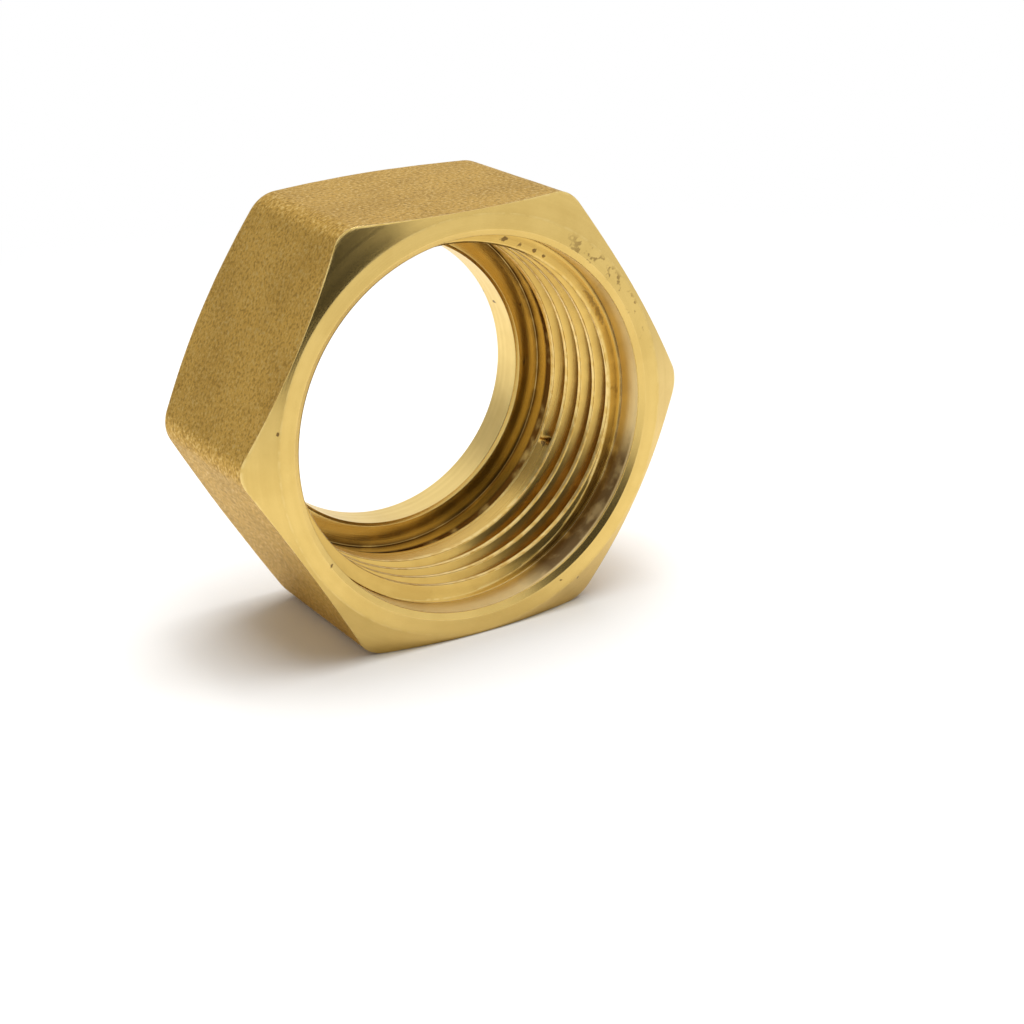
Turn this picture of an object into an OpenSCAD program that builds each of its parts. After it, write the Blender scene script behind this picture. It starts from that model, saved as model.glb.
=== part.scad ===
// Union nut for a gas pipe: a forged hexagon, bored and threaded from the mouth side.
// It stands on one flat. The bore runs along Y with the mouth towards -Y, and Z is up.
// The origin is on the floor, under the middle of the nut.

/* [Hexagon] */
// Distance across the flats
across_flats = 30; // [29:0.5:46]
// Length of the nut along its bore
nut_l = 15.5; // [15:0.5:30]
// Radius of the six upright edges between the flats
edge_r = 2.1; // [0.4:0.1:3]

/* [Front face] */
// How far the flat front face stays inside the flats
face_inset = 0.25; // [0.05:0.05:0.4]
// Slope of the front chamfer, measured from the front face
chamfer_angle = 28; // [10:1:40]

/* [Back face] */
// How far the flat back face stays inside the flats
back_inset = 1; // [0.2:0.1:1.5]
// Slope of the back chamfer, measured from the back face
back_angle = 30; // [10:1:35]

/* [Mouth] */
// Width of the bevel round the mouth, measured on the front face
mouth_bevel_w = 0.44; // [0.1:0.02:0.6]
// Depth of the bevel round the mouth
mouth_bevel_l = 0.25; // [0.1:0.05:0.6]
// Depth at which the plain entry ends and the thread starts
entry_l = 2.1; // [1:0.1:4]

/* [Thread] */
// Major diameter, at the bottom of the thread grooves
thread_major_d = 26.441; // [26:0.001:27]
// Depth of the thread, from its crests to the bottom of its grooves
thread_depth = 1.0705; // [0.9:0.0005:1.16]
// Pitch of the thread
thread_pitch = 1.814; // [1.7:0.001:1.9]
// Number of grooves
groove_count = 4; // [2:1:4]
// Width of the last crest, behind the last groove
last_crest_w = 0.34; // [0.3:0.02:1]
// Angle between the two flanks of a groove
flank_angle = 55; // [50:1:60]

/* [Relief] */
// Depth of the relief behind the thread, measured from the crests
relief_depth = 0.6; // [0.3:0.05:0.9]
// Length of the bottom of the relief
relief_l = 0.25; // [0.1:0.05:1.5]

/* [Seat and lip] */
// Depth of the pocket in front of the seat, measured from the crests
seat_pocket_depth = 0.25; // [0.1:0.05:0.3]
// Length of the pocket in front of the seat
seat_pocket_l = 1.3; // [0.5:0.05:1.8]
// Diameter of the hole through the lip
lip_hole_d = 21.2; // [19:0.1:22.5]
// Bevel at both ends of the hole through the lip
lip_bevel = 0.2; // [0.05:0.05:0.4]

/* [Hidden] */

$fn = 96;
// How far a cutting body stands out past the face that it cuts
overcut = 1;
// Steps in the round bottom of a thread groove
root_steps = 4;
// Sides of a circle that rounds one upright edge
edge_sides = 48;
// Radius of the round bottom of a groove, as a share of the pitch
root_share = 0.137329;

// Half of the distance across the flats, and the same at the corners of a sharp hexagon
flat_r = across_flats / 2;
corner_r = flat_r / cos(30);

// Radii of the bore, from the mouth to the lip
entry_r = thread_major_d / 2;
mouth_r = entry_r + mouth_bevel_w;
crest_r = entry_r - thread_depth;
relief_r = crest_r + relief_depth;
seat_pocket_r = crest_r + seat_pocket_depth;
lip_hole_r = lip_hole_d / 2;

// Round bottom of a groove: its radius follows the pitch
root_r = root_share * thread_pitch;
root_centre_r = entry_r - root_r;
half_flank = flank_angle / 2;
// Where the straight flank runs into the round bottom
tangent_r = root_centre_r + root_r * sin(half_flank);
// Half of the width of a groove at the crests, and the width of a crest
groove_half_w = root_r * cos(half_flank) + (tangent_r - crest_r) * tan(half_flank);
crest_w = thread_pitch - 2 * groove_half_w;

// Depths along the bore, measured from the front face
first_crest = entry_l + (entry_r - crest_r) * tan(half_flank);
last_crest_end = first_crest + groove_count * thread_pitch + last_crest_w;
relief_start = last_crest_end + (relief_r - crest_r) * tan(half_flank);
relief_end = relief_start + relief_l;
seat_pocket_start = relief_end + relief_r - seat_pocket_r;
seat_depth = seat_pocket_start + seat_pocket_l;

// Start of groove number i, where the crest in front of it ends
function groove_start(i) = first_crest + crest_w + i * thread_pitch;

// Points of groove number i: down one flank, round the bottom and up the other
function groove_points(i) =
    let (middle = groove_start(i) + groove_half_w, sweep = 90 - half_flank)
    [
        [crest_r, groove_start(i)],
        for (step = [0:root_steps])
            let (a = -sweep + 2 * sweep * step / root_steps)
            [root_centre_r + root_r * cos(a), middle + root_r * sin(a)],
        [crest_r, middle + groove_half_w]
    ];

// Outline of everything that is cut out round the axis, as radius and depth
bore_outline = concat(
    [
        [0, -overcut],
        [mouth_r, -overcut],
        [mouth_r, 0],
        [entry_r, mouth_bevel_l],
        [entry_r, entry_l],
        [crest_r, first_crest]
    ],
    [for (i = [0:groove_count - 1]) each groove_points(i)],
    [
        [crest_r, last_crest_end],
        [relief_r, relief_start],
        [relief_r, relief_end],
        [seat_pocket_r, seat_pocket_start],
        [seat_pocket_r, seat_depth],
        [lip_hole_r + lip_bevel, seat_depth],
        [lip_hole_r, seat_depth + lip_bevel],
        [lip_hole_r, nut_l - lip_bevel],
        [lip_hole_r + lip_bevel, nut_l],
        [lip_hole_r + lip_bevel, nut_l + overcut],
        [0, nut_l + overcut]
    ]
);

// Outline of the turned outside: the two faces and the two chamfers
turned_outline = [
    [0, 0],
    [flat_r - face_inset, 0],
    [corner_r, (corner_r - flat_r + face_inset) * tan(chamfer_angle)],
    [corner_r, nut_l - (corner_r - flat_r + back_inset) * tan(back_angle)],
    [flat_r - back_inset, nut_l],
    [0, nut_l]
];

// Hexagon bar with a round on each of its six edges
module hexagon_bar(length) {
    centre_r = (flat_r - edge_r) / cos(30);
    linear_extrude(length)
        polygon([
            for (i = [0:5], side = [-30, 30])
                centre_r * [cos(60 * i), sin(60 * i)] + edge_r * [cos(60 * i + side), sin(60 * i + side)]
        ]);
    for (i = [0:5])
        rotate(60 * i)
            translate([centre_r, 0, 0])
                cylinder(r = edge_r, h = length, $fn = edge_sides);
}

// The hexagon with its two faces and chamfers turned
module turned_blank() {
    intersection() {
        hexagon_bar(nut_l);
        rotate_extrude() polygon(turned_outline);
    }
}

// Everything that is bored out from the mouth side: bevel, entry, thread, relief, seat and hole
module bore() {
    rotate_extrude() polygon(bore_outline);
}

// The nut, laid on one flat with its mouth to the front
module nut() {
    color([0.80, 0.62, 0.30])
        translate([0, -nut_l / 2, flat_r])
            rotate([-90, 0, 0])
                difference() {
                    turned_blank();
                    bore();
                }
}

nut();
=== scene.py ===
"""Dressed model of a union nut for a gas pipe: its mesh, brass finishes, floor, light and camera."""

import logging
import math
from dataclasses import dataclass, field
from enum import Enum

import bpy
import numpy as np
from mathutils import Matrix, Vector


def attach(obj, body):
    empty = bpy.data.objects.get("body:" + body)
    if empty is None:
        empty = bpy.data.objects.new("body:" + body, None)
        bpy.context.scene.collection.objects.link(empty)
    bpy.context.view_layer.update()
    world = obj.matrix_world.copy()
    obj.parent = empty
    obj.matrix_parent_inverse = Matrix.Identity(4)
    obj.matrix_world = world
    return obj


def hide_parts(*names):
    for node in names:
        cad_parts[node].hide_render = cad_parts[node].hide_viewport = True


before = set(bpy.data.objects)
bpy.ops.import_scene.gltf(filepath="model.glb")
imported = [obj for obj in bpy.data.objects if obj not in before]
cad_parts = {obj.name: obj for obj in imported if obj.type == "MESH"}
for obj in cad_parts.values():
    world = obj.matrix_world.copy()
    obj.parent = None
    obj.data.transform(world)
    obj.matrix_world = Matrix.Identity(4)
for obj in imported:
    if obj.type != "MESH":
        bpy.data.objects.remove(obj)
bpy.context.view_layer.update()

LOG = logging.getLogger("union_nut")
MM = 0.001
AXIS_HEIGHT = 15.0


class Finish(Enum):
    """Finishes of the nut, in the order of its material slots."""

    FORGED = 0
    TURNED = 1
    THREADED = 2
    ENTRY = 3
    LIP = 4


@dataclass(frozen=True)
class NutSizes:
    """Sizes of the nut in millimetres; depths are measured from the front face."""

    flat_r: float = 15.0
    length: float = 15.5
    edge_r: float = 2.1
    face_r: float = 14.75
    chamfer_deg: float = 28.0
    back_r: float = 14.0
    back_deg: float = 30.0
    mouth_r: float = 13.6605
    mouth_l: float = 0.25
    entry_r: float = 13.2205
    entry_l: float = 2.44
    thread_start: float = 2.5
    crest_r: float = 12.15
    land_end: float = 10.2533
    relief_r: float = 12.75
    relief_start: float = 10.5656
    relief_end: float = 10.8156
    pocket_r: float = 12.4
    pocket_start: float = 11.1656
    seat: float = 12.4656
    lip_r: float = 10.6
    lip_bevel: float = 0.2

    def hexagon_radius(self, angle: np.ndarray) -> np.ndarray:
        """Distance from the axis to the rounded hexagon.

        Args:
            angle: Angles round the axis, in radians, with a corner at zero.

        Returns:
            The distances in millimetres.
        """
        sector = math.radians(60)
        off = np.abs((angle + sector / 2) % sector - sector / 2)
        centre = (self.flat_r - self.edge_r) / math.cos(math.radians(30))
        tangent = math.atan2(self.edge_r * 0.5, centre + self.edge_r * math.cos(math.radians(30)))
        flat = self.flat_r / np.cos(math.radians(30) - off)
        under = np.maximum(self.edge_r**2 - (centre * np.sin(off)) ** 2, 0.0)
        return np.where(off < tangent, centre * np.cos(off) + np.sqrt(under), flat)


@dataclass(frozen=True)
class ThreadForm:
    """Right-hand pipe thread with a 55 degree form, cut as one helix."""

    pitch: float = 1.814
    major_r: float = 13.2205
    crest_r: float = 12.15
    half_flank_deg: float = 27.5
    root_share: float = 0.137329
    first_crest: float = 2.657
    crest_round: float = 0.12
    stop_depth: float = 9.15
    run_out_deg: float = 3.0

    @property
    def root_r(self) -> float:
        """Radius of the round bottom of the groove."""
        return self.root_share * self.pitch

    @property
    def groove_half_w(self) -> float:
        """Half of the width of the groove at the crests."""
        half = math.radians(self.half_flank_deg)
        tangent = self.major_r - self.root_r + self.root_r * math.sin(half)
        return self.root_r * math.cos(half) + (tangent - self.crest_r) * math.tan(half)

    def row_offsets(self) -> list[float]:
        """Places of the mesh rows across one pitch.

        Returns:
            Distances from the middle of a crest, from zero up to the pitch, in millimetres.
        """
        start = self.round_start
        sweep = math.radians(90 - self.half_flank_deg)
        arc = [start + self.crest_round * math.sin(sweep * k / 4) for k in range(5)]
        bottom = self.pitch / 2 - self.root_r * math.cos(math.radians(self.half_flank_deg))
        flank = [arc[-1] + (bottom - arc[-1]) * k / 5 for k in range(1, 6)]
        root = [bottom + (self.pitch / 2 - bottom) * k / 3 for k in range(1, 4)]
        half = [0.0, *arc, *flank, *root]
        return half + [self.pitch - x for x in reversed(half[1:-1])]

    @property
    def round_start(self) -> float:
        """Distance from the middle of a crest to the start of its rounding."""
        turn = math.radians(90 - self.half_flank_deg) / 2
        return self.pitch / 2 - self.groove_half_w - self.crest_round * math.tan(turn)

    def radius(self, angle: np.ndarray, depth: np.ndarray) -> np.ndarray:
        """Radius of the cut thread.

        Args:
            angle: Angles round the axis in radians, from zero to a full turn.
            depth: Depths from the front face in millimetres.

        Returns:
            The radii in millimetres, which equal the crest radius outside the groove.
        """
        turn = angle / math.tau
        along = depth + self.pitch * turn - self.first_crest
        number = np.floor(along / self.pitch)
        off = np.abs(along - (number + 0.5) * self.pitch)
        half = math.radians(self.half_flank_deg)
        flank = self.crest_r + (self.groove_half_w - off) / math.tan(half)
        arc = np.sqrt(np.maximum(self.root_r**2 - off**2, 0.0))
        bottom = self.major_r - self.root_r + arc
        cut = np.where(off < self.root_r * math.cos(half), bottom, flank)
        past = self.pitch / 2 - off - self.round_start
        cap = self.crest_r + self.crest_round - np.sqrt(np.maximum(self.crest_round**2 - np.maximum(past, 0.0) ** 2, 0.0))
        cut = np.where(past < self.crest_round * math.cos(half), cap, cut)
        centre = self.first_crest + (number + 0.5) * self.pitch - self.pitch * turn
        left = (self.stop_depth - centre) / (self.pitch * self.run_out_deg / 360)
        fade = np.clip(left, 0.0, 1.0) ** 0.5
        cut = self.crest_r + (cut - self.crest_r) * fade
        return np.maximum(cut, self.crest_r)


@dataclass(frozen=True)
class Mark:
    """One nick or smudge: its place in the frame, its length, width and reach in depth, its turn and strength."""

    x: float
    y: float
    z: float
    length: float
    width: float
    turn_deg: float = 0.0
    reach: float = 0.7
    strength: float = 0.9


@dataclass
class RingMesh:
    """Closed mesh made of rings round the axis of the nut."""

    angles: np.ndarray
    points: list[np.ndarray] = field(default_factory=list)
    edge: list[np.ndarray] = field(default_factory=list)
    faces: list[tuple[int, ...]] = field(default_factory=list)
    finishes: list[int] = field(default_factory=list)
    count: int = 0

    def add_ring(self, radius: np.ndarray | float, depth: np.ndarray | float, edge: float = 0.0) -> np.ndarray:
        """Adds one ring of vertices.

        Args:
            radius: Radius of each vertex, or one for all, in millimetres.
            depth: Depth of each vertex, or one for all, in millimetres.
            edge: How near the ring is to an edge, from 0 to 1.

        Returns:
            The numbers of the new vertices.
        """
        total = len(self.angles)
        return self.add_points(np.full(total, radius) if np.isscalar(radius) else radius,
                               np.full(total, depth) if np.isscalar(depth) else depth,
                               self.angles, np.full(total, edge))

    def add_points(self, radius: np.ndarray, depth: np.ndarray, angle: np.ndarray, edge: np.ndarray) -> np.ndarray:
        """Adds vertices given round the axis.

        Args:
            radius: Radii in millimetres.
            depth: Depths from the front face in millimetres.
            angle: Angles round the axis in radians.
            edge: Nearness to an edge, from 0 to 1.

        Returns:
            The numbers of the new vertices.
        """
        self.points.append(np.stack([radius, depth, angle], axis=1))
        self.edge.append(edge)
        numbers = np.arange(self.count, self.count + len(radius))
        self.count += len(radius)
        return numbers

    def add_strip(self, before: np.ndarray, after: np.ndarray, finish: Finish) -> None:
        """Joins two rings with a closed strip of faces.

        Args:
            before: Vertex numbers of the first ring.
            after: Vertex numbers of the next ring.
            finish: Finish of the strip.
        """
        for a, b, c, d in zip(before, np.roll(before, -1), np.roll(after, -1), after):
            self.faces.append((int(a), int(b), int(c), int(d)))
            self.finishes.append(finish.value)

    def add_face(self, corners: list[int], finish: Finish) -> None:
        """Adds one face, without corners that fall together.

        Args:
            corners: Vertex numbers round the face.
            finish: Finish of the face.
        """
        kept = [v for k, v in enumerate(corners) if v != corners[k - 1]]
        if len(set(kept)) >= 3:
            self.faces.append(tuple(kept))
            self.finishes.append(finish.value)


def rounded(profile: list[tuple[float, float, float]], steps: int = 3) -> list[tuple[float, float, float]]:
    """Rounds the corners of a turned profile.

    Args:
        profile: Corners as radius, depth and rounding radius, in millimetres.
        steps: Number of pieces in each arc.

    Returns:
        Points as radius, depth and nearness to an edge.
    """
    out: list[tuple[float, float, float]] = []
    for k, (r, d, size) in enumerate(profile):
        if k in (0, len(profile) - 1) or size <= 0:
            out.append((r, d, 0.0))
            continue
        here = Vector((r, d))
        back = (Vector(profile[k - 1][:2]) - here).normalized()
        ahead = (Vector(profile[k + 1][:2]) - here).normalized()
        half = back.angle(ahead) / 2
        reach = size / math.tan(half)
        start, end = here + back * reach, here + ahead * reach
        for step in range(steps + 1):
            t = step / steps
            point = start * (1 - t) ** 2 + here * 2 * t * (1 - t) + end * t**2
            out.append((point.x, point.y, 1.0 - abs(2 * t - 1)))
    return out


def spread(points: list[tuple[float, float, float]], longest: float) -> list[tuple[float, float, float]]:
    """Divides the long pieces of a profile.

    Args:
        points: Points as radius, depth and nearness to an edge.
        longest: Longest piece that is left, in millimetres.

    Returns:
        The points with the new ones between them.
    """
    out = [points[0]]
    for before, after in zip(points, points[1:]):
        gap = math.dist(before[:2], after[:2])
        parts = max(1, math.ceil(gap / longest))
        for k in range(1, parts + 1):
            t = k / parts
            edge = after[2] if k == parts else 0.0
            out.append((before[0] + (after[0] - before[0]) * t, before[1] + (after[1] - before[1]) * t, edge))
    return out


def lattice_noise(points: np.ndarray, scale: float, seed: int) -> np.ndarray:
    """Smooth seeded noise.

    Args:
        points: Places in millimetres, one row each.
        scale: Size of one noise cell in millimetres.
        seed: Seed of the noise.

    Returns:
        Values from -1 to 1, one for each place.
    """
    grid = points / scale
    cell = np.floor(grid).astype(np.int64)
    part = grid - cell
    part = part * part * (3 - 2 * part)
    total = np.zeros(len(points))
    for corner in range(8):
        step = np.array([corner & 1, corner >> 1 & 1, corner >> 2 & 1])
        key = (cell + step) @ np.array([73856093, 19349663, 83492791]) + seed * 2654435
        key = (key ^ (key >> 13)) * 1274126177
        value = ((key ^ (key >> 16)) & 0xFFFF) / 32767.5 - 1
        weight = np.prod(np.where(step == 1, part, 1 - part), axis=1)
        total += value * weight
    return total


@dataclass
class UnionNut:
    """The nut: a forged hexagon, turned, bored and threaded from its mouth side."""

    sizes: NutSizes = field(default_factory=NutSizes)
    thread: ThreadForm = field(default_factory=ThreadForm)
    columns_per_flat: int = 60
    corner_columns: int = 24
    corner_reach_deg: float = 4.6
    wall_rings: int = 6
    skin_wave: float = 0.03
    skin_seed: int = 11
    # Painted shade: the next five numbers set where round the axis the painted recess shade is strongest, its least
    # share, and where the painted dark reflection on the entry lies.
    side_mid: float = -12.0
    side_half: float = 42.0
    least_painted_shade: float = 0.15
    low_right_mid: float = -43.0
    low_right_half: float = 20.0

    def angles(self) -> np.ndarray:
        """Angles of the mesh columns, closer together at the corners.

        Returns:
            Angles in radians from zero up to a full turn, without the last.
        """
        reach = self.corner_reach_deg
        corner = np.linspace(-reach, reach, self.corner_columns, endpoint=False)
        flat = np.linspace(reach, 60 - reach, self.columns_per_flat - self.corner_columns, endpoint=False)
        sector = np.concatenate([corner, flat])
        turn = np.concatenate([sector + 60 * k for k in range(6)])
        return np.radians(np.sort(turn % 360))

    def place(self, points: np.ndarray) -> np.ndarray:
        """Turns radius, depth and angle into places in the shared frame.

        Args:
            points: Rows of radius, depth in millimetres and angle in radians.

        Returns:
            Rows of X, Y and Z in millimetres.
        """
        radius, depth, angle = points.T
        return np.stack([radius * np.cos(angle), depth - self.sizes.length / 2,
                         AXIS_HEIGHT + radius * np.sin(angle)], axis=1)

    def add_revolved(self, mesh: RingMesh, points: list[tuple[float, float, float]], finish: Finish,
                     last: np.ndarray) -> np.ndarray:
        """Adds turned rings after a given ring.

        Args:
            mesh: Mesh to add to.
            points: Points as radius, depth and nearness to an edge.
            finish: Finish of the strips.
            last: Vertex numbers of the ring before the first point.

        Returns:
            Vertex numbers of the last ring.
        """
        for radius, depth, edge in points:
            ring = mesh.add_ring(radius, depth, edge)
            mesh.add_strip(last, ring, finish)
            last = ring
        return last

    def add_wall(self, mesh: RingMesh, ring: np.ndarray) -> np.ndarray:
        """Adds the steep wall at the end of the entry, which the first groove runs through.

        Args:
            mesh: Mesh to add to.
            ring: Vertex numbers at the end of the plain entry.

        Returns:
            Vertex numbers of the ring on which the thread starts.
        """
        s = self.sizes
        inner = np.minimum(self.thread.radius(mesh.angles, np.full(len(mesh.angles), s.thread_start)), s.entry_r)
        for share in np.linspace(0.0, 1.0, self.wall_rings)[1:]:
            radius = s.entry_r + (inner - s.entry_r) * share
            nxt = mesh.add_ring(radius, s.entry_l + (s.thread_start - s.entry_l) * share, float(share == 1.0))
            mesh.add_strip(ring, nxt, Finish.THREADED)
            ring = nxt
        return ring

    def add_thread(self, mesh: RingMesh, start: float, end: float, first: np.ndarray) -> np.ndarray:
        """Adds the helix between two plain rings.

        Args:
            mesh: Mesh to add to.
            start: Depth of the ring in front of the thread.
            end: Depth of the ring behind the thread.
            first: Vertex numbers of the ring in front.

        Returns:
            Vertex numbers of the ring behind the thread.
        """
        last = mesh.add_ring(self.sizes.crest_r, end)
        pitch = self.thread.pitch
        offsets = self.thread.row_offsets()
        per_pitch = len(offsets)
        low = math.floor((start - self.thread.first_crest) / pitch)
        high = math.ceil((end - self.thread.first_crest) / pitch) + 1
        rows = np.array([self.thread.first_crest + turn * pitch + x
                         for turn in range(low, high) for x in offsets])
        total = len(mesh.angles)
        turns = np.append(mesh.angles, math.tau) / math.tau
        depth = rows[:, None] - pitch * turns[None, :]
        numbers = np.full(depth.shape, -1, dtype=np.int64)
        ring = np.append(np.arange(total), 0)
        front, behind = depth <= start + 1e-6, depth >= end - 1e-6
        numbers[front] = np.broadcast_to(first[ring], depth.shape)[front]
        numbers[behind] = np.broadcast_to(last[ring], depth.shape)[behind]
        inside = (numbers < 0) & (np.arange(total + 1)[None, :] < total)
        angle = np.broadcast_to(np.append(mesh.angles, math.tau), depth.shape)[inside]
        cut = self.thread.radius(angle, depth[inside])
        edge_row = np.zeros(per_pitch)
        edge_row[:5] = edge_row[per_pitch - 4:] = 1.0
        near = np.broadcast_to(np.tile(edge_row, len(rows) // per_pitch)[:, None], depth.shape)[inside]
        near = near * (np.abs(cut - self.sizes.crest_r) < 0.08)
        numbers[inside] = mesh.add_points(cut, depth[inside], angle, near)
        seam = numbers[:, total] < 0
        numbers[seam, total] = np.roll(numbers[:, 0], per_pitch)[seam]
        for i in range(len(rows) - 1):
            for j in range(total):
                quad = [numbers[i, j], numbers[i, j + 1], numbers[i + 1, j + 1], numbers[i + 1, j]]
                mesh.add_face([int(v) for v in quad], Finish.THREADED)
        return last

    def cone_depths(self, radius: np.ndarray) -> tuple[np.ndarray, np.ndarray]:
        """Depths at which the two chamfers meet a given radius.

        Args:
            radius: Radii in millimetres.

        Returns:
            Depths on the front chamfer and on the back chamfer.
        """
        s = self.sizes
        front = (radius - s.face_r) * math.tan(math.radians(s.chamfer_deg))
        back = s.length - (radius - s.back_r) * math.tan(math.radians(s.back_deg))
        return front, back

    def add_outside(self, mesh: RingMesh, first: np.ndarray, last: np.ndarray) -> None:
        """Adds the back chamfer, the flats and the front chamfer between the two faces.

        Args:
            mesh: Mesh to add to.
            first: Vertex numbers of the rim of the back face.
            last: Vertex numbers of the rim of the front face.
        """
        s = self.sizes
        skin = s.hexagon_radius(mesh.angles)
        front, back = self.cone_depths(skin)
        ring = first
        for share in (0.04, 0.2, 0.4, 0.6, 0.8, 0.93):
            radius = s.back_r + (skin - s.back_r) * share
            nxt = mesh.add_ring(radius, self.cone_depths(radius)[1], 0.0)
            mesh.add_strip(ring, nxt, Finish.FORGED)
            ring = nxt
        soft = np.minimum(0.12, (skin - s.back_r) * 0.1)
        for step, share in enumerate((-1.0, 0.0, 1.0)):
            radius = skin - soft * (0.55, 0.22, 0.03)[step]
            depth = back + soft * (0.5, -0.05, -0.9)[step]
            nxt = mesh.add_ring(radius, np.minimum(depth, self.cone_depths(radius)[1]), 1.0 - abs(share) * 0.6)
            mesh.add_strip(ring, nxt, Finish.FORGED)
            ring = nxt
        top, low = back - 0.3, front + 0.05
        for share in np.linspace(0, 1, 32):
            nxt = mesh.add_ring(skin, top + (low - top) * share, 0.0)
            mesh.add_strip(ring, nxt, Finish.FORGED)
            ring = nxt
        nxt = mesh.add_ring(skin - 0.004, front + 0.012, 1.0)
        mesh.add_strip(ring, nxt, Finish.FORGED)
        ring = nxt
        for share, near in ((0.985, 0.8), (0.9, 0.0), (0.72, 0.0), (0.54, 0.0), (0.36, 0.0), (0.18, 0.0), (0.06, 0.0)):
            radius = s.face_r + (skin - s.face_r) * share
            nxt = mesh.add_ring(radius, self.cone_depths(radius)[0], near)
            mesh.add_strip(ring, nxt, Finish.TURNED)
            ring = nxt
        mesh.add_strip(ring, last, Finish.TURNED)

    def wave_skin(self, mesh: RingMesh, points: np.ndarray) -> np.ndarray:
        """Lets the forged skin dip in and out a little.

        Args:
            mesh: Mesh with its faces and finishes.
            points: Rows of radius, depth and angle.

        Returns:
            The points with the radius of the forged ones changed, never outwards.
        """
        forged = np.zeros(len(points), dtype=bool)
        for face, finish in zip(mesh.faces, mesh.finishes):
            if finish == Finish.FORGED.value:
                forged[list(face)] = True
        for face, finish in zip(mesh.faces, mesh.finishes):
            if finish != Finish.FORGED.value:
                forged[list(face)] = False
        places = self.place(points)
        wave = 0.6 * lattice_noise(places, 2.6, self.skin_seed) + 0.4 * lattice_noise(places, 0.9, self.skin_seed + 1)
        moved = points.copy()
        moved[forged, 0] -= self.skin_wave * (0.5 + 0.5 * wave[forged])
        return moved

    def painted_shade(self, points: np.ndarray) -> np.ndarray:
        """Works out the painted shade: darker recesses, groove bottoms, pocket corner, seat and wall edge, stronger
        towards the right, and a painted dark reflection on the entry band.

        Args:
            points: Rows of radius, depth and angle.

        Returns:
            Values from 0, no painted shade, to 1, darkest painted shade.
        """
        s = self.sizes
        radius, depth, angle = points.T
        turn = (np.degrees(angle) + 180.0) % 360.0 - 180.0
        # Painted dark reflection on the lower right of the entry band, and a side weight that paints the recesses
        # darker towards the right.
        low_right = np.clip((self.low_right_half + 12.0 - np.abs(turn - self.low_right_mid)) / 12.0, 0.0, 1.0)
        side = np.clip((self.side_half + 25.0 - np.abs(turn - self.side_mid)) / 25.0, self.least_painted_shade, 1.0)
        dark_reflection = 0.85 * low_right * (depth > s.mouth_l + 0.25) * (depth <= s.entry_l) * (radius < s.mouth_r)
        # Painted shade in the relief, the pocket corner, the groove bottoms and on the seat, and a painted dark line
        # at the wall's edge.
        outside = np.maximum(s.land_end - depth, 3.0 * (depth - s.pocket_start - 0.02))
        relief = np.clip(1.0 - outside / 0.3, 0.0, 1.0) * (radius > s.crest_r + 0.05) * (radius < s.entry_r)
        corner = np.clip((depth - s.seat + 0.45) / 0.45, 0.0, 1.0) * (radius > s.pocket_r - 0.35) * (depth < s.seat + 0.01)
        groove = np.clip((radius - s.crest_r - 0.04) / 0.7, 0.0, 1.0)
        groove = groove * (depth > s.entry_l + 0.02) * (depth < s.land_end)
        burr = np.abs(depth - s.entry_l) < 0.01
        seat = 0.1 * ((depth > s.seat - 0.02) & (depth < s.seat + 0.1) & (radius > s.lip_r))
        return np.maximum.reduce([relief * 1.0, corner * 0.75, groove * 0.6 * side, seat, burr * 0.9 * side, dark_reflection])

    def build(self) -> bpy.types.Object:
        """Builds the whole nut as one closed mesh.

        Returns:
            The new object, with a material index for each finish on its faces.
        """
        s = self.sizes
        mesh = RingMesh(self.angles())
        rim = mesh.add_ring(s.face_r, 0.0, 0.5)
        front = rounded([(s.face_r, 0.0, 0.0), (s.mouth_r, 0.0, 0.05), (s.entry_r, s.mouth_l, 0.05),
                         (s.entry_r, s.mouth_l + 0.1, 0.0)])
        ring = self.add_revolved(mesh, spread(front, 0.14)[1:], Finish.TURNED, rim)
        entry = spread([(s.entry_r, s.mouth_l + 0.1, 0.0), (s.entry_r, s.entry_l, 0.0)], 0.14)
        ring = self.add_revolved(mesh, entry[1:], Finish.ENTRY, ring)
        ring = self.add_wall(mesh, ring)
        ring = self.add_thread(mesh, s.thread_start, s.land_end - 0.06, ring)
        inner = rounded([(s.crest_r, s.land_end - 0.06, 0.0), (s.crest_r, s.land_end, 0.03),
                         (s.relief_r, s.relief_start, 0.06), (s.relief_r, s.relief_end, 0.06),
                         (s.pocket_r, s.pocket_start, 0.05), (s.pocket_r, s.seat, 0.12),
                         (s.lip_r + s.lip_bevel, s.seat, 0.04), (s.lip_r, s.seat + s.lip_bevel, 0.04),
                         (s.lip_r, s.seat + s.lip_bevel + 0.1, 0.0)])
        ring = self.add_revolved(mesh, spread(inner, 0.3)[1:], Finish.TURNED, ring)
        lip = rounded([(s.lip_r, s.seat + s.lip_bevel + 0.1, 0.0), (s.lip_r, s.length - s.lip_bevel, 0.04),
                       (s.lip_r + s.lip_bevel, s.length, 0.05), (s.lip_r + s.lip_bevel + 0.1, s.length, 0.0)])
        ring = self.add_revolved(mesh, spread(lip, 0.3)[1:], Finish.LIP, ring)
        back = rounded([(s.lip_r + s.lip_bevel + 0.1, s.length, 0.0), (s.back_r, s.length, 0.0)])
        ring = self.add_revolved(mesh, spread(back, 0.5)[1:], Finish.FORGED, ring)
        self.add_outside(mesh, ring, rim)
        points = self.wave_skin(mesh, np.concatenate(mesh.points))
        data = bpy.data.meshes.new("union_nut")
        data.from_pydata((self.place(points) * MM).tolist(), [], mesh.faces)
        data.polygons.foreach_set("material_index", mesh.finishes)
        data.polygons.foreach_set("use_smooth", [True] * len(mesh.faces))
        near = data.attributes.new("edge", "FLOAT", "POINT")
        near.data.foreach_set("value", np.concatenate(mesh.edge).astype(np.float32))
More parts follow.
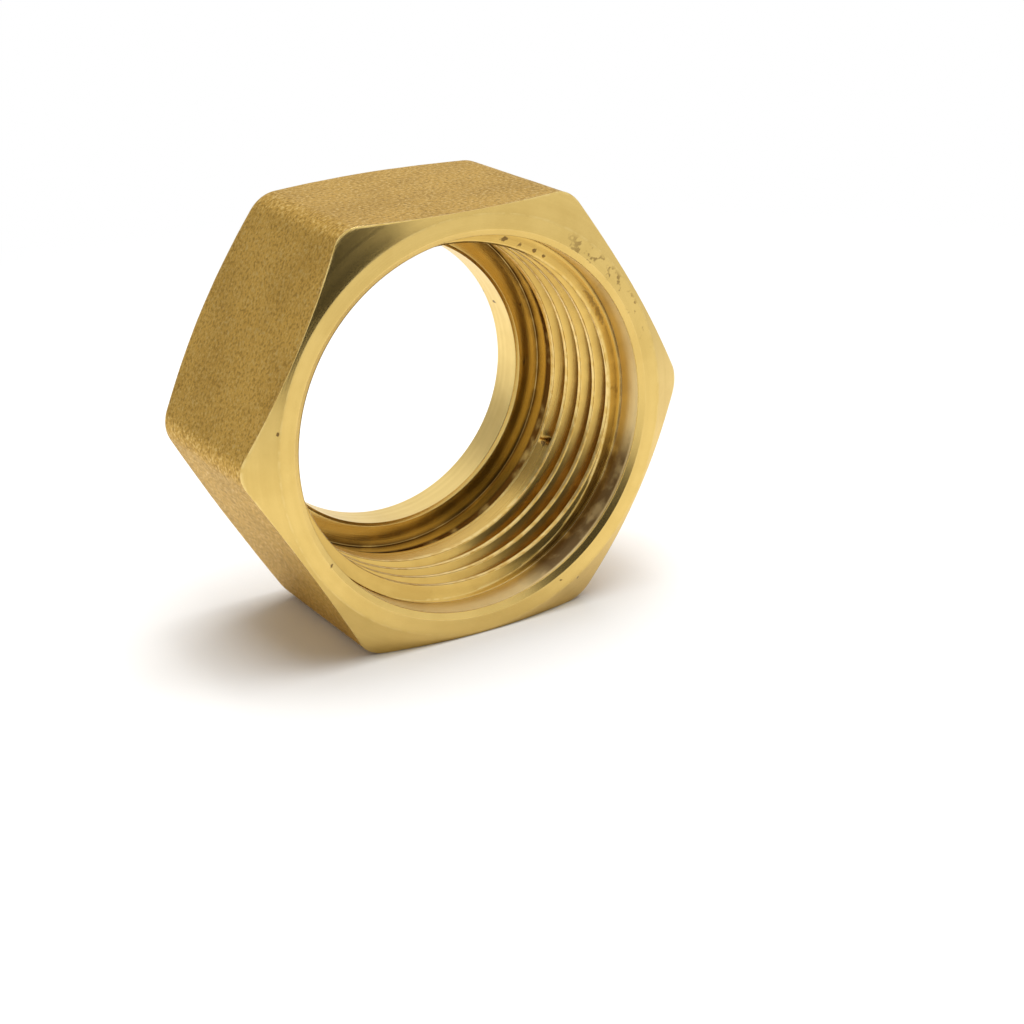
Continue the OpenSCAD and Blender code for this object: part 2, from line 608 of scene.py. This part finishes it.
        # Per-vertex painted shade, read by the turned finishes.
        painted_shade = data.attributes.new("painted_shade", "FLOAT", "POINT")
        painted_shade.data.foreach_set("value", self.painted_shade(points).astype(np.float32))
        data.update()
        data.validate()
        nut = bpy.data.objects.new("union_nut", data)
        bpy.context.scene.collection.objects.link(nut)
        return nut


class Graph:
    """Adds nodes to one node tree and links them."""

    def __init__(self, tree: bpy.types.NodeTree) -> None:
        """Keeps the tree.

        Args:
            tree: Node tree to add to.
        """
        self.tree = tree

    def add(self, kind: str, sockets: dict | None = None, **settings: object) -> bpy.types.Node:
        """Adds one node.

        Args:
            kind: Type name of the node.
            sockets: Values or output sockets for its inputs, by name or number.
            **settings: Properties of the node.

        Returns:
            The new node.
        """
        node = self.tree.nodes.new(kind)
        for name, value in settings.items():
            setattr(node, name, value)
        for name, value in (sockets or {}).items():
            if isinstance(value, bpy.types.NodeSocket):
                self.tree.links.new(value, node.inputs[name])
            else:
                node.inputs[name].default_value = value
        return node

    def math(self, operation: str, first: object, second: object = 0.0, clamp: bool = False) -> bpy.types.NodeSocket:
        """Adds a Math node.

        Args:
            operation: Operation of the node.
            first: First value or socket.
            second: Second value or socket.
            clamp: Whether the result is held between 0 and 1.

        Returns:
            The output socket.
        """
        return self.add("ShaderNodeMath", {0: first, 1: second}, operation=operation, use_clamp=clamp).outputs[0]

    def smooth(self, value: object, low: float, high: float, to_low: float = 0.0,
               to_high: float = 1.0) -> bpy.types.NodeSocket:
        """Maps a value smoothly from one range to another.

        Args:
            value: Value or socket to map.
            low: Start of the first range.
            high: End of the first range.
            to_low: Result at the start.
            to_high: Result at the end.

        Returns:
            The output socket.
        """
        return self.add("ShaderNodeMapRange", {0: value, 1: low, 2: high, 3: to_low, 4: to_high},
                        interpolation_type="SMOOTHSTEP").outputs[0]

    def mix(self, factor: object, first: object, second: object) -> bpy.types.NodeSocket:
        """Mixes two colours.

        Args:
            factor: Share of the second colour.
            first: First colour or socket.
            second: Second colour or socket.

        Returns:
            The output socket.
        """
        node = self.add("ShaderNodeMix", {0: factor, 6: first, 7: second}, data_type="RGBA")
        return node.outputs[2]


@dataclass(frozen=True)
class Socket:
    """One socket of a node group."""

    name: str
    kind: str
    value: float | tuple[float, ...] | None = None


def new_group(name: str, inputs: list[Socket], outputs: list[Socket]) -> tuple[Graph, bpy.types.Node, bpy.types.Node]:
    """Starts a shader node group.

    Args:
        name: Name of the group.
        inputs: Input sockets with their first values.
        outputs: Output sockets.

    Returns:
        A graph for its nodes, the group's input node and its output node.
    """
    tree = bpy.data.node_groups.new(name, "ShaderNodeTree")
    for direction, sockets in (("INPUT", inputs), ("OUTPUT", outputs)):
        for socket in sockets:
            made = tree.interface.new_socket(socket.name, in_out=direction, socket_type=socket.kind)
            if socket.value is not None:
                made.default_value = socket.value
    graph = Graph(tree)
    return graph, graph.add("NodeGroupInput"), graph.add("NodeGroupOutput")


NUMBER, VECTOR = "NodeSocketFloat", "NodeSocketVector"


class Effects:
    """Shader node groups that the brass finishes share, each built once."""

    def __init__(self) -> None:
        """Builds the groups."""
        self.turning = self.build_turning()
        self.grain = self.build_grain()
        self.cloud = self.build_cloud()
        self.wear = self.build_wear()
        self.nick = self.build_nick()
        self.pitted = self.build_pitted()

    @staticmethod
    def build_turning() -> bpy.types.NodeTree:
        """Builds the fine rings that a turning tool leaves.

        Returns:
            The group, which puts out a height and a streak mask.
        """
        graph, given, out = new_group(
            "turning_marks",
            [Socket("Spacing", NUMBER, 0.12), Socket("Wander", NUMBER, 0.3)],
            [Socket("Height", NUMBER), Socket("Streak", NUMBER)],
        )
        place = graph.add("ShaderNodeTexCoord").outputs["Object"]
        split = graph.add("ShaderNodeSeparateXYZ", {0: place}).outputs
        up = graph.math("SUBTRACT", split["Z"], AXIS_HEIGHT * MM)
        radius = graph.math("SQRT", graph.math("ADD", graph.math("MULTIPLY", split["X"], split["X"]),
                                               graph.math("MULTIPLY", up, up)))
        angle = graph.math("ARCTAN2", up, split["X"])
        along = graph.math("DIVIDE", graph.math("ADD", radius, split["Y"]), MM)
        scaled = graph.math("DIVIDE", along, given.outputs["Spacing"])
        turned = graph.add("ShaderNodeCombineXYZ", {0: scaled, 1: graph.math("MULTIPLY", graph.math("COSINE", angle), given.outputs["Wander"]),
                                                    2: graph.math("MULTIPLY", graph.math("SINE", angle), given.outputs["Wander"])}).outputs[0]
        fine = graph.add("ShaderNodeTexNoise", {"Vector": turned, "Scale": 1.0, "Detail": 2.0, "Roughness": 0.6})
        wide = graph.add("ShaderNodeTexNoise", {"Vector": turned, "Scale": 0.16, "Detail": 1.0})
        graph.tree.links.new(fine.outputs[0], out.inputs["Height"])
        graph.tree.links.new(wide.outputs[0], out.inputs["Streak"])
        return graph.tree

    @staticmethod
    def build_grain() -> bpy.types.NodeTree:
        """Builds the pitted grain of blasted brass.

        Returns:
            The group, which puts out a height, a mask of pits and a mask of bright grains.
        """
        graph, given, out = new_group(
            "blasted_grain",
            [Socket("Grain Size", NUMBER, 0.2), Socket("Depth", NUMBER, 1.0)],
            [Socket("Height", NUMBER), Socket("Pits", NUMBER), Socket("Grains", NUMBER)],
        )
        place = graph.add("ShaderNodeTexCoord").outputs["Object"]
        scale = graph.math("DIVIDE", 1.0 / MM, given.outputs["Grain Size"])
        fine = graph.add("ShaderNodeTexNoise", {"Vector": place, "Scale": scale, "Detail": 3.0, "Roughness": 0.62})
        cells = graph.add("ShaderNodeTexVoronoi", {"Vector": place, "Scale": graph.math("MULTIPLY", scale, 0.8), "Randomness": 1.0})
        broad = graph.add("ShaderNodeTexNoise", {"Vector": place, "Scale": graph.math("MULTIPLY", scale, 0.3), "Detail": 2.0})
        bowls = graph.smooth(cells.outputs["Distance"], 0.0, 0.7)
        height = graph.math("ADD", graph.math("MULTIPLY", fine.outputs[0], 0.9),
                            graph.math("ADD", graph.math("MULTIPLY", bowls, 0.35), graph.math("MULTIPLY", broad.outputs[0], 0.8)))
        height = graph.math("MULTIPLY", height, given.outputs["Depth"])
        graph.tree.links.new(height, out.inputs["Height"])
        graph.tree.links.new(graph.smooth(fine.outputs[0], 0.5, 0.36), out.inputs["Pits"])
        graph.tree.links.new(graph.smooth(fine.outputs[0], 0.52, 0.66), out.inputs["Grains"])
        return graph.tree

    @staticmethod
    def build_cloud() -> bpy.types.NodeTree:
        """Builds the slow change from fresh to dull brass.

        Returns:
            The group, which puts out a mask.
        """
        graph, given, out = new_group(
            "dull_cloud",
            [Socket("Size", NUMBER, 4.0), Socket("Low", NUMBER, 0.4), Socket("High", NUMBER, 0.65)],
            [Socket("Mask", NUMBER)],
        )
        place = graph.add("ShaderNodeTexCoord").outputs["Object"]
        noise = graph.add("ShaderNodeTexNoise", {"Vector": place, "Scale": graph.math("DIVIDE", 1.0 / MM, given.outputs["Size"]),
                                                 "Detail": 4.0, "Roughness": 0.6})
        ranged = graph.add("ShaderNodeMapRange", {0: noise.outputs[0], 1: given.outputs["Low"], 2: given.outputs["High"]},
                           interpolation_type="SMOOTHSTEP")
        graph.tree.links.new(ranged.outputs[0], out.inputs["Mask"])
        return graph.tree

    @staticmethod
    def build_wear() -> bpy.types.NodeTree:
        """Builds the bright line along worn edges.

        Returns:
            The group, which puts out a mask.
        """
        graph, given, out = new_group("edge_wear", [Socket("Amount", NUMBER, 0.6)], [Socket("Mask", NUMBER)])
        near = graph.add("ShaderNodeAttribute", attribute_name="edge").outputs["Fac"]
        place = graph.add("ShaderNodeTexCoord").outputs["Object"]
        noise = graph.add("ShaderNodeTexNoise", {"Vector": place, "Scale": 1800.0, "Detail": 2.0})
        broken = graph.smooth(noise.outputs[0], 0.35, 0.6)
        worn = graph.math("MULTIPLY", graph.math("MULTIPLY", near, broken), given.outputs["Amount"], clamp=True)
        graph.tree.links.new(worn, out.inputs["Mask"])
        return graph.tree


    @staticmethod
    def build_nick() -> bpy.types.NodeTree:
        """Builds one nick: a small ellipsoid with a ragged outline.

        Returns:
            The group, which puts out a mask.
        """
        graph, given, out = new_group(
            "nick",
            [Socket("Centre", VECTOR), Socket("Turn", VECTOR), Socket("Reach", VECTOR)],
            [Socket("Mask", NUMBER)],
        )
        place = graph.add("ShaderNodeTexCoord").outputs["Object"]
        noise = graph.add("ShaderNodeTexNoise", {"Vector": place, "Scale": 3200.0, "Detail": 2.0}).outputs[0]
        local = graph.add("ShaderNodeMapping", {"Vector": place, "Location": given.outputs["Centre"],
                                                "Rotation": given.outputs["Turn"], "Scale": given.outputs["Reach"]},
                          vector_type="TEXTURE").outputs[0]
        far = graph.add("ShaderNodeVectorMath", {0: local}, operation="LENGTH").outputs["Value"]
        ragged = graph.math("ADD", far, graph.math("MULTIPLY", graph.math("SUBTRACT", noise, 0.5), 2.2))
        graph.tree.links.new(graph.smooth(ragged, 1.0, 0.55), out.inputs["Mask"])
        return graph.tree

    @staticmethod
    def build_pitted() -> bpy.types.NodeTree:
        """Builds the patch of the front face that the tool hardly reached, with pits left in it.

        Returns:
            The group, which puts out a mask of the pits.
        """
        graph, given, out = new_group(
            "pitted_patch",
            [Socket("Middle Angle", NUMBER, 0.6), Socket("Half Angle", NUMBER, 0.4),
             Socket("Inner Radius", NUMBER, 13.6), Socket("Outer Radius", NUMBER, 14.7)],
            [Socket("Mask", NUMBER)],
        )
        place = graph.add("ShaderNodeTexCoord").outputs["Object"]
        split = graph.add("ShaderNodeSeparateXYZ", {0: place}).outputs
        up = graph.math("SUBTRACT", split["Z"], AXIS_HEIGHT * MM)
        squares = graph.math("ADD", graph.math("MULTIPLY", split["X"], split["X"]), graph.math("MULTIPLY", up, up))
        radius = graph.math("DIVIDE", graph.math("SQRT", squares), MM)
        off = graph.math("ABSOLUTE", graph.math("SUBTRACT", graph.math("ARCTAN2", up, split["X"]),
                                                given.outputs["Middle Angle"]))
        along = graph.smooth(graph.math("DIVIDE", off, given.outputs["Half Angle"]), 1.15, 0.7)
        inner = graph.smooth(graph.math("SUBTRACT", radius, given.outputs["Inner Radius"]), -0.05, 0.12)
        outer = graph.smooth(graph.math("SUBTRACT", given.outputs["Outer Radius"], radius), -0.05, 0.3)
        coarse = graph.add("ShaderNodeTexNoise", {"Vector": place, "Scale": 1100.0, "Detail": 1.0}).outputs[0]
        fine = graph.add("ShaderNodeTexNoise", {"Vector": place, "Scale": 3400.0, "Detail": 2.0}).outputs[0]
        pits = graph.smooth(graph.math("ADD", graph.math("MULTIPLY", coarse, 0.6), graph.math("MULTIPLY", fine, 0.4)),
                            0.52, 0.6)
        mask = graph.math("MULTIPLY", graph.math("MULTIPLY", along, graph.math("MULTIPLY", inner, outer)), pits)
        graph.tree.links.new(mask, out.inputs["Mask"])
        return graph.tree


@dataclass(frozen=True)
class ForgedBrass:
    """Blasted skin of the hot forging: grainy, matt and olive gold."""

    name: str = "forged_brass"
    fresh: tuple[float, ...] = (0.635, 0.395, 0.084, 1.0)
    dull: tuple[float, ...] = (0.50, 0.30, 0.058, 1.0)
    pit: tuple[float, ...] = (0.20, 0.10, 0.012, 1.0)
    grain: tuple[float, ...] = (0.86, 0.64, 0.24, 1.0)
    worn: tuple[float, ...] = (0.82, 0.61, 0.20, 1.0)

    def build(self, effects: Effects) -> bpy.types.Material:
        """Builds the material.

        Args:
            effects: The shared node groups.

        Returns:
            The material.
        """
        material, graph, shader = new_metal(self.name)
        cloud = graph.add("ShaderNodeGroup", {}, node_tree=effects.cloud)
        cloud.inputs["Size"].default_value = 5.0
        grain = graph.add("ShaderNodeGroup", {}, node_tree=effects.grain)
        grain.inputs["Grain Size"].default_value = 0.24
        wear = graph.add("ShaderNodeGroup", {}, node_tree=effects.wear)
        wear.inputs["Amount"].default_value = 0.55
        tone = graph.mix(graph.math("MULTIPLY", cloud.outputs["Mask"], 0.6), self.fresh, self.dull)
        tone = graph.mix(graph.math("MULTIPLY", grain.outputs["Pits"], 0.55), tone, self.pit)
        tone = graph.mix(graph.math("MULTIPLY", grain.outputs["Grains"], 0.5), tone, self.grain)
        tone = graph.mix(wear.outputs["Mask"], tone, self.worn)
        rough = graph.smooth(grain.outputs["Grains"], 0.0, 1.0, 0.52, 0.36)
        bump = graph.add("ShaderNodeBump", {"Strength": 0.55, "Distance": 0.00006, "Height": grain.outputs["Height"]})
        graph.tree.links.new(tone, shader.inputs["Base Color"])
        graph.tree.links.new(rough, shader.inputs["Roughness"])
        graph.tree.links.new(bump.outputs[0], shader.inputs["Normal"])
        shader.inputs["Specular Tint"].default_value = (0.85, 0.82, 0.75, 1.0)
        return material


@dataclass(frozen=True)
class TurnedBrass:
    """Turned brass: bright, with fine rings from the tool and a few dull clouds."""

    name: str
    spacing: float
    bump_strength: float
    rough_low: float
    rough_high: float
    marks: tuple[Mark, ...] = ()
    patch: bool = False
    fresh: tuple[float, ...] = (0.71, 0.505, 0.165, 1.0)
    dull: tuple[float, ...] = (0.55, 0.37, 0.10, 1.0)
    worn: tuple[float, ...] = (0.92, 0.73, 0.33, 1.0)
    nicked: tuple[float, ...] = (0.17, 0.095, 0.03, 1.0)
    # Colour of the painted shade and painted dark reflection.
    painted_shade: tuple[float, ...] = (0.092, 0.038, 0.006, 1.0)

    def build(self, effects: Effects) -> bpy.types.Material:
        """Builds the material.

        Args:
            effects: The shared node groups.

        Returns:
            The material.
        """
        material, graph, shader = new_metal(self.name)
        cloud = graph.add("ShaderNodeGroup", {}, node_tree=effects.cloud)
        cloud.inputs["Size"].default_value = 3.2
        turning = graph.add("ShaderNodeGroup", {}, node_tree=effects.turning)
        turning.inputs["Spacing"].default_value = self.spacing
        wear = graph.add("ShaderNodeGroup", {}, node_tree=effects.wear)
        wear.inputs["Amount"].default_value = 0.5
        streak = graph.smooth(turning.outputs["Streak"], 0.35, 0.65)
        tone = graph.mix(graph.math("MULTIPLY", cloud.outputs["Mask"], 0.3), self.fresh, self.dull)
        tone = graph.mix(graph.math("MULTIPLY", streak, 0.18), tone, self.dull)
        tone = graph.mix(wear.outputs["Mask"], tone, self.worn)
        # Painted shade from the mesh attribute, broken up by noise.
        painted_shade_mask = graph.add("ShaderNodeAttribute", attribute_name="painted_shade").outputs["Fac"]
        place = graph.add("ShaderNodeTexCoord").outputs["Object"]
        shade_breakup = graph.add("ShaderNodeTexNoise", {"Vector": place, "Scale": 700.0, "Detail": 3.0}).outputs[0]
        tone = graph.mix(graph.math("MULTIPLY", painted_shade_mask, graph.smooth(shade_breakup, 0.3, 0.55, 0.55, 1.0)), tone, self.painted_shade)
        hurt = self.add_marks(graph, effects)
        tone = graph.mix(hurt, tone, self.nicked)
        rough = graph.add("ShaderNodeMapRange", {0: turning.outputs["Streak"], 1: 0.3, 2: 0.7,
                                                 3: self.rough_low, 4: self.rough_high}).outputs[0]
        height = graph.math("SUBTRACT", turning.outputs["Height"], graph.math("MULTIPLY", hurt, 2.5))
        bump = graph.add("ShaderNodeBump", {"Strength": self.bump_strength, "Distance": 0.00002, "Height": height})
        graph.tree.links.new(tone, shader.inputs["Base Color"])
        graph.tree.links.new(rough, shader.inputs["Roughness"])
        graph.tree.links.new(bump.outputs[0], shader.inputs["Normal"])
        return material

    def add_marks(self, graph: Graph, effects: Effects) -> bpy.types.NodeSocket | float:
        """Adds the nicks and the pitted patch.

        Args:
            graph: Graph of the material.
            effects: The shared node groups.

        Returns:
            The mask of all marks, or zero where there are none.
        """
        total: bpy.types.NodeSocket | float = 0.0
        for mark in self.marks:
            nick = graph.add("ShaderNodeGroup", {}, node_tree=effects.nick)
            nick.inputs["Centre"].default_value = (mark.x * MM, mark.y * MM, mark.z * MM)
            nick.inputs["Turn"].default_value = (0.0, -math.radians(mark.turn_deg), 0.0)
            nick.inputs["Reach"].default_value = (mark.length / 2 * MM, mark.reach * MM, mark.width / 2 * MM)
            total = graph.math("MAXIMUM", total, graph.math("MULTIPLY", nick.outputs["Mask"], mark.strength))
        if self.patch:
            patch = graph.add("ShaderNodeGroup", {}, node_tree=effects.pitted)
            patch.inputs["Middle Angle"].default_value = math.radians(35.0)
            patch.inputs["Half Angle"].default_value = math.radians(23.0)
            total = graph.math("MAXIMUM", total, graph.math("MULTIPLY", patch.outputs["Mask"], 0.65))
        return total


def new_metal(name: str) -> tuple[bpy.types.Material, Graph, bpy.types.Node]:
    """Starts a metal material.

    Args:
        name: Name of the material.

    Returns:
        The material, a graph for its nodes and its shader node.
    """
    material = bpy.data.materials.new(name)
    material.use_nodes = True
    graph = Graph(material.node_tree)
    shader = material.node_tree.nodes["Principled BSDF"]
    shader.inputs["Metallic"].default_value = 1.0
    return material, graph, shader


@dataclass(frozen=True)
class Lamp:
    """A soft rectangular lamp that points at the nut."""

    name: str
    place: tuple[float, float, float]
    size: tuple[float, float]
    power: float
    in_gloss: bool = True
    target: tuple[float, float, float] = (0.0, 0.0, 0.012)

    def build(self) -> None:
        """Hangs the lamp and turns it to its target."""
        data = bpy.data.lights.new(self.name, "AREA")
        data.shape = "RECTANGLE"
        data.size, data.size_y = self.size
        data.energy = self.power
        lamp = bpy.data.objects.new(self.name, data)
        lamp.location = self.place
        lamp.visible_glossy = self.in_gloss
        lamp.rotation_euler = (Vector(self.target) - Vector(self.place)).to_track_quat("-Z", "Y").to_euler()
        bpy.context.scene.collection.objects.link(lamp)


@dataclass(frozen=True)
class Card:
    """A dark curved card that stands on the floor, out of the camera's sight, and shows in the metal.

    Azimuths are in degrees from the way along the bore, positive to the right.
    """

    name: str
    from_deg: float
    to_deg: float
    low_deg: float
    high_deg: float
    shade: float = 0.03
    reach: float = 0.8
    parts: int = 32

    def cloth(self) -> bpy.types.Material:
        """Builds the matt cloth of the card.

        Returns:
            The material.
        """
        material = bpy.data.materials.new(self.name + "_cloth")
        material.use_nodes = True
        shader = material.node_tree.nodes["Principled BSDF"]
        shader.inputs["Base Color"].default_value = (self.shade, self.shade * 0.95, self.shade * 0.88, 1.0)
        shader.inputs["Roughness"].default_value = 1.0
        return material

    def build(self) -> bpy.types.Object:
        """Stands the card up.

        Returns:
            The card.
        """
        low, high = (self.reach * math.tan(math.radians(x)) for x in (self.low_deg, self.high_deg))
        corners, faces = [], []
        for k in range(self.parts + 1):
            turn = math.radians(self.from_deg + (self.to_deg - self.from_deg) * k / self.parts)
            x, y = self.reach * math.sin(turn), self.reach * math.cos(turn)
            corners += [(x, y, 0.015 + low), (x, y, 0.015 + high)]
            if k:
                faces.append((2 * k - 2, 2 * k, 2 * k + 1, 2 * k - 1))
        data = bpy.data.meshes.new(self.name)
        data.from_pydata(corners, [], faces)
        data.materials.append(self.cloth())
        card = bpy.data.objects.new(self.name, data)
        bpy.context.scene.collection.objects.link(card)
        card.visible_camera = False
        return card


@dataclass
class Studio:
    """Pale floor, soft lamps, white surroundings and two dark cards."""

    floor_size: float = 4.0
    fade_from: float = 0.03
    fade_to: float = 0.12
    ambient: float = 0.42
    lamps: tuple[Lamp, ...] = (
        Lamp("lamp_top", (0.15, 0.02, 0.95), (1.0, 1.0), 12.6, in_gloss=False),
        Lamp("lamp_glint", (0.10, 0.05, 0.80), (0.12, 0.12), 0.45),
    )
    cards: tuple[Card, ...] = (
        Card("card_back_left", -43.0, -15.0, 0.0, 32.0, shade=0.22),
        Card("card_front", 168.0, 210.0, 1.0, 41.0),
    )

    def build_floor(self) -> bpy.types.Object:
        """Lays the floor under the nut.

        Returns:
            The floor.
        """
        half = self.floor_size / 2
        data = bpy.data.meshes.new("floor")
        corners = [(-half, -half, -0.00002), (half, -half, -0.00002), (half, half, -0.00002), (-half, half, -0.00002)]
        data.from_pydata(corners, [], [(0, 1, 2, 3)])
        floor = bpy.data.objects.new("floor", data)
        bpy.context.scene.collection.objects.link(floor)
        data.materials.append(self.floor_material())
        return floor

    def floor_material(self) -> bpy.types.Material:
        """Builds the white floor, which keeps the shadow near the nut.

        Returns:
            The material.
        """
        material = bpy.data.materials.new("white_floor")
        material.use_nodes = True
        graph = Graph(material.node_tree)
        material.node_tree.nodes.remove(material.node_tree.nodes["Principled BSDF"])
        out = material.node_tree.nodes["Material Output"]
        paper = graph.add("ShaderNodeBsdfDiffuse", {"Color": (0.86, 0.855, 0.845, 1.0)})
        glow = graph.add("ShaderNodeEmission", {"Color": (1.0, 1.0, 1.0, 1.0), "Strength": 1.0})
        seen = seen_by_eye_and_gloss(graph)
        place = graph.add("ShaderNodeTexCoord").outputs["Object"]
        reach = graph.add("ShaderNodeVectorMath", {0: place}, operation="LENGTH").outputs["Value"]
        far = graph.smooth(reach, self.fade_from, self.fade_to, 0.0, 1.0)
        share = graph.math("MULTIPLY", far, seen)
        mixed = graph.add("ShaderNodeMixShader", {0: share, 1: paper.outputs[0], 2: glow.outputs[0]})
        graph.tree.links.new(mixed.outputs[0], out.inputs["Surface"])
        return material

    def build_world(self) -> None:
        """Builds the surroundings: white to the camera and to the metal, dim as a light."""
        world = bpy.data.worlds.new("surroundings")
        bpy.context.scene.world = world
        world.use_nodes = True
        graph = Graph(world.node_tree)
        background = world.node_tree.nodes["Background"]
        strength = graph.add("ShaderNodeMix", {0: seen_by_eye_and_gloss(graph), 2: self.ambient, 3: 1.0},
                             data_type="FLOAT").outputs[0]
        background.inputs["Color"].default_value = (1.0, 1.0, 1.0, 1.0)
        graph.tree.links.new(strength, background.inputs["Strength"])

    def build(self) -> None:
        """Builds the floor, the surroundings, the cards and the lamps."""
        self.build_floor()
        self.build_world()
        for card in self.cards:
            card.build()
        for lamp in self.lamps:
            lamp.build()


def seen_by_eye_and_gloss(graph: Graph) -> bpy.types.NodeSocket:
    """Marks what the camera, the metal and glass see, apart from what lights them.

    Args:
        graph: Graph to add the nodes to.

    Returns:
        A socket that is 1 for camera, glossy and transmission rays.
    """
    path = graph.add("ShaderNodeLightPath").outputs
    both = graph.math("ADD", path["Is Glossy Ray"], path["Is Transmission Ray"])
    return graph.math("ADD", path["Is Camera Ray"], both, clamp=True)


@dataclass(frozen=True)
class Camera:
    """The camera at the viewing angle of the photograph."""

    place: tuple[float, float, float] = (-0.06787, -0.12877, 0.06342)
    azimuth: float = -30.143
    elevation: float = 21.445
    roll: float = -2.253
    lens: float = 76.48
    sensor: float = 36.0

    def build(self) -> bpy.types.Object:
        """Places the camera.

        Returns:
            The camera object.
        """
        azimuth, elevation, roll = (math.radians(x) for x in (self.azimuth, self.elevation, self.roll))
        back = Vector((math.sin(azimuth) * math.cos(elevation), -math.cos(azimuth) * math.cos(elevation), math.sin(elevation)))
        right = Vector((math.cos(azimuth), math.sin(azimuth), 0.0))
        up = back.cross(right)
        side = right * math.cos(roll) + up * math.sin(roll)
        top = up * math.cos(roll) - right * math.sin(roll)
        data = bpy.data.cameras.new("camera")
        data.lens, data.sensor_width = self.lens, self.sensor
        data.clip_start, data.clip_end = 0.005, 20.0
        camera = bpy.data.objects.new("camera", data)
        turn = Matrix((side, top, back)).transposed().to_4x4()
        camera.matrix_world = Matrix.Translation(Vector(self.place)) @ turn
        bpy.context.scene.collection.objects.link(camera)
        bpy.context.scene.camera = camera
        return camera


FACE_MARKS = (
    Mark(-11.53, -7.75, 7.86, 0.35, 0.22, 40.0),
    Mark(6.20, -7.75, 2.37, 0.3, 0.16, 10.0),
    Mark(7.69, -7.65, 2.20, 0.3, 0.16, 60.0),
    Mark(-14.61, -7.68, 17.77, 0.4, 0.2, 70.0),
    Mark(11.03, 4.72, 18.91, 0.28, 0.28, 0.0, 0.2),
    Mark(11.18, 4.72, 14.41, 0.26, 0.6, 0.0, 0.2),
)
LIP_MARKS = (
    Mark(9.53, 7.60, 19.65, 0.4, 0.35, 0.0, 0.3),
    Mark(9.83, 6.45, 18.97, 0.28, 0.28, 0.0, 0.25),
)
THREAD_MARKS = (
    Mark(4.03, -5.27, 27.04, 0.6, 0.4, 0.0, 0.3),
    Mark(5.20, -5.27, 26.42, 0.5, 0.4, 0.0, 0.3),
    Mark(6.39, -5.27, 25.86, 0.45, 0.35, 0.0, 0.3),
    Mark(7.11, -5.27, 25.34, 0.4, 0.3, 0.0, 0.3),
    Mark(11.78, -1.45, 19.76, 0.6, 2.2, 24.0, 0.4, 0.5),
    Mark(10.89, -5.15, 21.54, 0.5, 2.4, 31.0, 0.4, 0.45),
    Mark(11.46, -5.15, 20.47, 0.5, 2.4, 26.0, 0.4, 0.5),
    Mark(12.66, 0.95, 14.00, 0.7, 1.3, 0.0, 0.35, 0.55),
    Mark(12.68, -1.35, 14.22, 0.7, 1.2, 0.0, 0.35, 0.55),
    Mark(12.68, -2.95, 14.22, 0.7, 1.1, 0.0, 0.35, 0.5),
    Mark(12.70, -5.15, 14.67, 0.7, 1.0, 0.0, 0.3, 0.4),
    Mark(10.64, 1.38, 9.14, 0.6, 0.6, 0.0, 0.35),
)


def dress(nut: bpy.types.Object, effects: Effects) -> None:
    """Gives the nut its five finishes.

    Args:
        nut: The nut.
        effects: The shared node groups.
    """
    finishes = {
        Finish.FORGED: ForgedBrass(),
        Finish.TURNED: TurnedBrass("turned_brass", spacing=0.10, bump_strength=0.22, rough_low=0.18, rough_high=0.28,
                                   marks=FACE_MARKS, patch=True),
        Finish.THREADED: TurnedBrass("threaded_brass", spacing=0.07, bump_strength=0.25, rough_low=0.2,
                                     rough_high=0.3, marks=THREAD_MARKS, fresh=(0.73, 0.49, 0.135, 1.0),
                                     dull=(0.50, 0.30, 0.065, 1.0)),
        Finish.ENTRY: TurnedBrass("entry_brass", spacing=0.07, bump_strength=0.25, rough_low=0.38, rough_high=0.46,
                                  fresh=(0.91, 0.74, 0.39, 1.0), dull=(0.68, 0.50, 0.22, 1.0)),
        Finish.LIP: TurnedBrass("lip_brass", spacing=0.10, bump_strength=0.22, rough_low=0.36, rough_high=0.44,
                                marks=LIP_MARKS, fresh=(0.88, 0.66, 0.25, 1.0), dull=(0.68, 0.48, 0.15, 1.0)),
    }
    for kind in Finish:
        nut.data.materials.append(finishes[kind].build(effects))


def main() -> None:
    """Builds the nut and its studio."""
    logging.basicConfig(level=logging.INFO, format="%(name)s: %(message)s")
    bpy.context.scene.view_settings.view_transform = "Standard"
    Camera().build()
    nut = UnionNut().build()
    dress(nut, Effects())
    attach(nut, "root")
    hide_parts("nut")
    triangles = sum(len(face.vertices) - 2 for face in nut.data.polygons)
    LOG.info("union nut: %d faces, %d triangles", len(nut.data.polygons), triangles)
    Studio().build()
    LOG.info("floor, surroundings and lamps stand")
    LOG.info("boxes written")


if __name__ == "__main__":
    main()
